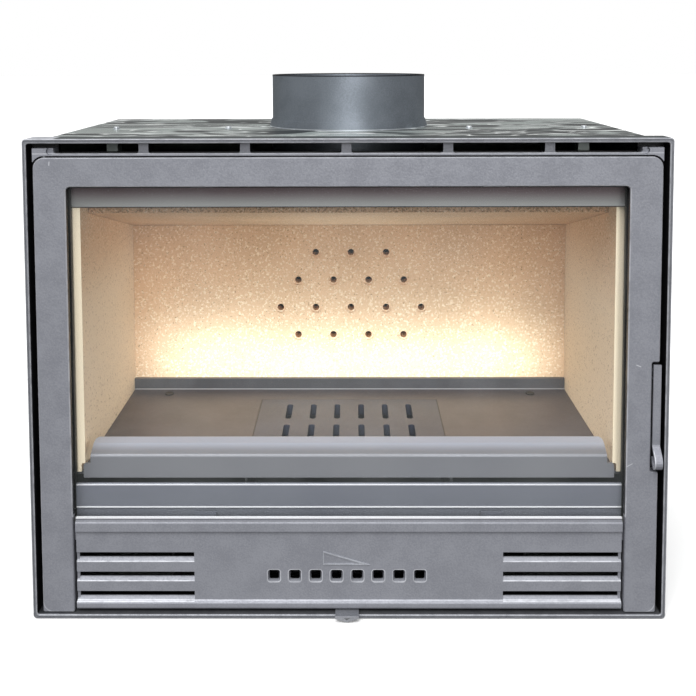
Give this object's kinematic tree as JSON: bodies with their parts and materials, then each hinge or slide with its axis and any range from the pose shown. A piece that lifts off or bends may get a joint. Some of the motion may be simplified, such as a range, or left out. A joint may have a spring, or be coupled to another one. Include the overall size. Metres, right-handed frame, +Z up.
{
  "type": "fireplace insert",
  "caption": "Closed fireplace insert: lined steel firebox in a convection casing, glass door with louvres and air slide, latch lever, flue collar.",
  "frame": {"origin": "on the hearth, in the middle of the width and of the overall depth", "axes": "+X to the right as seen from the front, +Y towards the back, +Z up"},
  "size_m": [0.7, 0.3806, 0.5984],
  "materials": {
    "cast_paint": "fine cast texture under metallic grey heat paint",
    "sheet_paint": "smooth greenish grey sheet paint, fairly glossy",
    "flue_paint": "satin dark grey paint",
    "bare_steel": "mill finish sheet",
    "fire_board": "pressed mineral board, dry and speckled",
    "floor_iron": "dull brown-grey heat paint",
    "seal_rope": "braided glass-fibre rope",
    "glass": "clear glass ceramic"
  },
  "bodies": {
    "insert": {"front_frame": "cast_paint", "slot_frieze": "cast_paint", "casing_top": "sheet_paint", "casing_base": "sheet_paint", "casing_left": "sheet_paint", "casing_right": "sheet_paint", "casing_back": "sheet_paint", "firebox_base": "bare_steel", "firebox_left": "bare_steel", "firebox_right": "bare_steel", "firebox_back": "bare_steel", "firebox_top": "bare_steel", "flue_collar": "flue_paint", "collar_ring": "flue_paint", "spacer_bracket_left": "sheet_paint", "spacer_bracket_right": "sheet_paint", "support_rail_left": "bare_steel", "support_rail_right": "bare_steel", "ash_wall_left": "bare_steel", "ash_wall_right": "bare_steel", "side_ledge_left": "bare_steel", "side_ledge_right": "bare_steel", "side_panel_left": "fire_board", "side_panel_right": "fire_board", "air_duct": "bare_steel", "air_box": "bare_steel", "back_panel": "fire_board", "baffle": "fire_board", "header_plate": "bare_steel", "floor_plate": "floor_iron", "rear_kerb": "floor_iron", "grate": "floor_iron", "ash_pan": "bare_steel", "log_retainer": "cast_paint", "sill_bar": "cast_paint", "latch_keeper": "bare_steel", "hinge_pin_upper": "bare_steel", "hinge_pin_lower": "bare_steel"},
    "door": {"door_frame": "cast_paint", "grille_panel": "cast_paint", "glass_gasket": "seal_rope", "door_glass": "glass", "glass_clip_upper_left": "bare_steel", "glass_clip_upper_right": "bare_steel", "glass_clip_lower_left": "bare_steel", "glass_clip_lower_right": "bare_steel", "rope_seal": "seal_rope", "latch_pivot": "bare_steel", "slider_guide_upper": "bare_steel", "slider_guide_lower_left": "bare_steel", "slider_guide_lower_right": "bare_steel"},
    "latch": {"latch_lever": "cast_paint"},
    "register": {"air_slider": "bare_steel", "slider_tab": "bare_steel"}
  },
  "joints": [
    {"name": "door_swing", "type": "hinge", "parent": "insert", "child": "door", "pos_m": [-0.3285, -0.17275, 0.26], "axis": [0, 0, -1], "range_deg": [0, 105]},
    {"name": "latch_pull", "type": "hinge", "parent": "door", "child": "latch", "pos_m": [0.3374, -0.17275, 0.274], "axis": [-1, 0, 0], "range_deg": [0, 35]},
    {"name": "air_slide", "type": "slide", "parent": "door", "child": "register", "axis": [1, 0, 0], "range_m": [-0.0115, 0.0115]}
  ]
}
